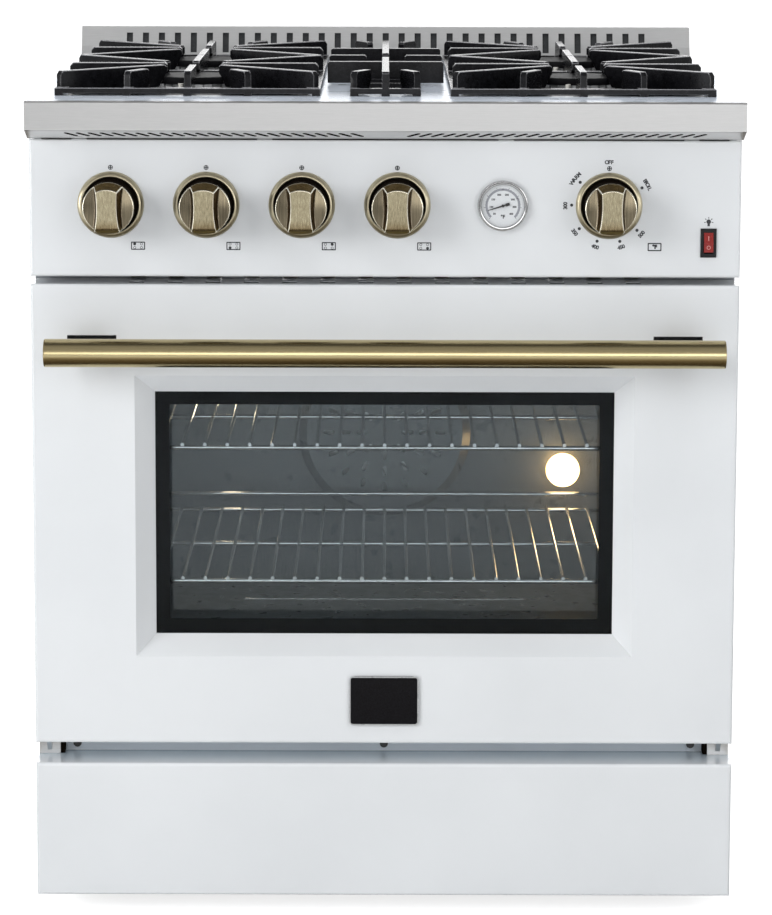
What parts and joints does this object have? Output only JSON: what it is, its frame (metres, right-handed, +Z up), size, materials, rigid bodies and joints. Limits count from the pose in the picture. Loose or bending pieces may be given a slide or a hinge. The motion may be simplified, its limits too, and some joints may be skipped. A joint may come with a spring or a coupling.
{
  "type": "freestanding gas range",
  "caption": "Freestanding gas range: slotted backguard, lift-off cast grates over sealed burners, turning and pressing knobs, drop-down windowed oven door, sliding racks, kick panel.",
  "frame": {"origin": "on the floor, at the centre of the bounding box in plan", "axes": "+Z up, +X to the right seen from the front, +Y to the back (the door faces -Y)"},
  "size_m": [0.76, 0.746, 0.9395],
  "materials": {
    "white_enamel": "white porcelain enamel on sheet steel, glossy, faint orange peel",
    "cooktop_enamel": "white porcelain enamel, glossy",
    "oven_enamel": "grey speckled oven enamel",
    "trim_steel": "stainless steel brushed along its length",
    "galvanised_steel": "zinc coated sheet",
    "cast_iron": "satin black enamelled cast iron",
    "cap_enamel": "satin black enamel",
    "aluminium": "cast or drawn aluminium",
    "antique_brass": "brushed antique brass under lacquer",
    "valve_brass": "machined brass",
    "chrome_wire": "nickel chrome plated wire",
    "door_glass": "tempered glass with a black border",
    "lamp_glass": "lit lamp globe",
    "gasket": "woven heat seal",
    "insulation": "mineral wool blanket",
    "foot_steel": "zinc-plated steel, dulled",
    "black_plastic": "black switch plastic",
    "red_plastic": "translucent red rocker",
    "badge_black": "black gloss plaque, blank",
    "ceramic": "white alumina electrode",
    "needle_black": "black painted pointer",
    "screw_black": "black oxide screw"
  },
  "bodies": {
    "range": {"side_panel_left": "white_enamel", "side_panel_right": "white_enamel", "rear_panel": "galvanised_steel", "base_frame": "galvanised_steel", "kick_panel": "white_enamel", "oven_front_frame": "white_enamel", "oven_cavity": "oven_enamel", "door_gasket": "gasket", "oven_insulation": "insulation", "fan_cover": "oven_enamel", "fan_motor": "galvanised_steel", "oven_lamp": "lamp_glass", "oven_burners": "galvanised_steel", "oven_floor": "oven_enamel", "rack_guides": "chrome_wire", "cooktop_pan": "cooktop_enamel", "front_trim": "trim_steel", "backguard": "trim_steel", "burner_heads": "aluminium", "burner_caps": "cap_enamel", "igniters": "ceramic", "control_panel": "white_enamel", "knob_bezels": "antique_brass", "gas_valves": "valve_brass", "gas_manifold": "galvanised_steel", "burner_tubes": "aluminium", "thermometer_case": "trim_steel", "switch_housing": "black_plastic", "hinge_brackets": "trim_steel", "front_screws": "screw_black"},
    "door": {"door_skin": "white_enamel", "door_liner": "oven_enamel", "door_glass_outer": "door_glass", "door_glass_inner": "door_glass", "door_handle": "antique_brass", "handle_posts": "antique_brass", "door_badge": "badge_black", "door_hinge_arms": "galvanised_steel"},
    "fan": {"fan_blade": "aluminium"},
    "lower_rack": {"oven_rack_lower": "chrome_wire"},
    "upper_rack": {"oven_rack_upper": "chrome_wire"},
    "left_grate": {"grate_left": "cast_iron"},
    "center_grate": {"grate_center": "cast_iron"},
    "right_grate": {"grate_right": "cast_iron"},
    "needle": {"thermometer_needle": "needle_black"},
    "rocker": {"switch_rocker": "red_plastic"},
    "foot_front_left": {"foot_front_left": "foot_steel"},
    "foot_front_right": {"foot_front_right": "foot_steel"},
    "foot_rear_left": {"foot_rear_left": "foot_steel"},
    "foot_rear_right": {"foot_rear_right": "foot_steel"},
    "knob_rear_left": {"knob_rear_left": "antique_brass"},
    "spindle_rear_left": {"spindle_rear_left": "valve_brass"},
    "knob_front_left": {"knob_front_left": "antique_brass"},
    "spindle_front_left": {"spindle_front_left": "valve_brass"},
    "knob_rear_right": {"knob_rear_right": "antique_brass"},
    "spindle_rear_right": {"spindle_rear_right": "valve_brass"},
    "knob_front_right": {"knob_front_right": "antique_brass"},
    "spindle_front_right": {"spindle_front_right": "valve_brass"},
    "knob_oven": {"knob_oven": "antique_brass"},
    "spindle_oven": {"spindle_oven": "valve_brass"}
  },
  "joints": [
    {"name": "door_hinge", "type": "hinge", "parent": "range", "child": "door", "pos_m": [0, -0.283, 0.2049], "axis": [1, 0, 0], "range_deg": [0, 90], "stiffness_Nm_per_rad": 10, "springref_deg": -57.3},
    {"name": "lower_rack_slide", "type": "slide", "parent": "range", "child": "lower_rack", "axis": [0, -1, 0], "range_m": [0, 0.236]},
    {"name": "upper_rack_slide", "type": "slide", "parent": "range", "child": "upper_rack", "axis": [0, -1, 0], "range_m": [0, 0.236]},
    {"name": "left_grate_lift", "type": "slide", "parent": "range", "child": "left_grate", "axis": [0, 0, 1], "range_m": [0, 0.1]},
    {"name": "center_grate_lift", "type": "slide", "parent": "range", "child": "center_grate", "axis": [0, 0, 1], "range_m": [0, 0.1]},
    {"name": "right_grate_lift", "type": "slide", "parent": "range", "child": "right_grate", "axis": [0, 0, 1], "range_m": [0, 0.1]},
    {"name": "foot_front_left_adjust", "type": "slide", "parent": "range", "child": "foot_front_left", "axis": [0, 0, -1], "range_m": [0, 0.025]},
    {"name": "foot_front_right_adjust", "type": "slide", "parent": "range", "child": "foot_front_right", "axis": [0, 0, -1], "range_m": [0, 0.025]},
    {"name": "foot_rear_left_adjust", "type": "slide", "parent": "range", "child": "foot_rear_left", "axis": [0, 0, -1], "range_m": [0, 0.025]},
    {"name": "foot_rear_right_adjust", "type": "slide", "parent": "range", "child": "foot_rear_right", "axis": [0, 0, -1], "range_m": [0, 0.025]},
    {"name": "knob_rear_left_turn", "type": "hinge", "parent": "range", "child": "spindle_rear_left", "pos_m": [-0.292, -0.307, 0.788], "axis": [0, -1, 0], "range_deg": [0, 210]},
    {"name": "knob_rear_left_press", "type": "slide", "parent": "spindle_rear_left", "child": "knob_rear_left", "axis": [0, 1, 0], "range_m": [0, 0.003], "stiffness_N_per_m": 1500, "springref_m": -0.004},
    {"name": "knob_front_left_turn", "type": "hinge", "parent": "range", "child": "spindle_front_left", "pos_m": [-0.1904, -0.307, 0.788], "axis": [0, -1, 0], "range_deg": [0, 210]},
    {"name": "knob_front_left_press", "type": "slide", "parent": "spindle_front_left", "child": "knob_front_left", "axis": [0, 1, 0], "range_m": [0, 0.003], "stiffness_N_per_m": 1500, "springref_m": -0.004},
    {"name": "knob_rear_right_turn", "type": "hinge", "parent": "range", "child": "spindle_rear_right", "pos_m": [-0.0888, -0.307, 0.788], "axis": [0, -1, 0], "range_deg": [0, 210]},
    {"name": "knob_rear_right_press", "type": "slide", "parent": "spindle_rear_right", "child": "knob_rear_right", "axis": [0, 1, 0], "range_m": [0, 0.003], "stiffness_N_per_m": 1500, "springref_m": -0.004},
    {"name": "knob_front_right_turn", "type": "hinge", "parent": "range", "child": "spindle_front_right", "pos_m": [0.0128, -0.307, 0.788], "axis": [0, -1, 0], "range_deg": [0, 210]},
    {"name": "knob_front_right_press", "type": "slide", "parent": "spindle_front_right", "child": "knob_front_right", "axis": [0, 1, 0], "range_m": [0, 0.003], "stiffness_N_per_m": 1500, "springref_m": -0.004},
    {"name": "knob_oven_turn", "type": "hinge", "parent": "range", "child": "spindle_oven", "pos_m": [0.238, -0.307, 0.788], "axis": [0, -1, 0], "range_deg": [0, 299]},
    {"name": "knob_oven_press", "type": "slide", "parent": "spindle_oven", "child": "knob_oven", "axis": [0, 1, 0], "range_m": [0, 0.003], "stiffness_N_per_m": 1500, "springref_m": -0.004},
    {"name": "fan_spin", "type": "hinge", "parent": "range", "child": "fan", "pos_m": [0, 0.2, 0.456], "axis": [0, 1, 0], "continuous": true},
    {"name": "needle_turn", "type": "hinge", "parent": "range", "child": "needle", "pos_m": [0.125, -0.31, 0.788], "axis": [0, 1, 0], "range_deg": [-28, 240], "stiffness_Nm_per_rad": 0.002},
    {"name": "switch_rock", "type": "hinge", "parent": "range", "child": "rocker", "pos_m": [0.3443, -0.304, 0.7485], "axis": [1, 0, 0], "range_deg": [0, 14]}
  ],
  "couplings": [
    {"joint": "lower_rack_slide", "follows": "door_hinge", "m_per_rad": 0.15},
    {"joint": "upper_rack_slide", "follows": "door_hinge", "m_per_rad": 0.15}
  ]
}
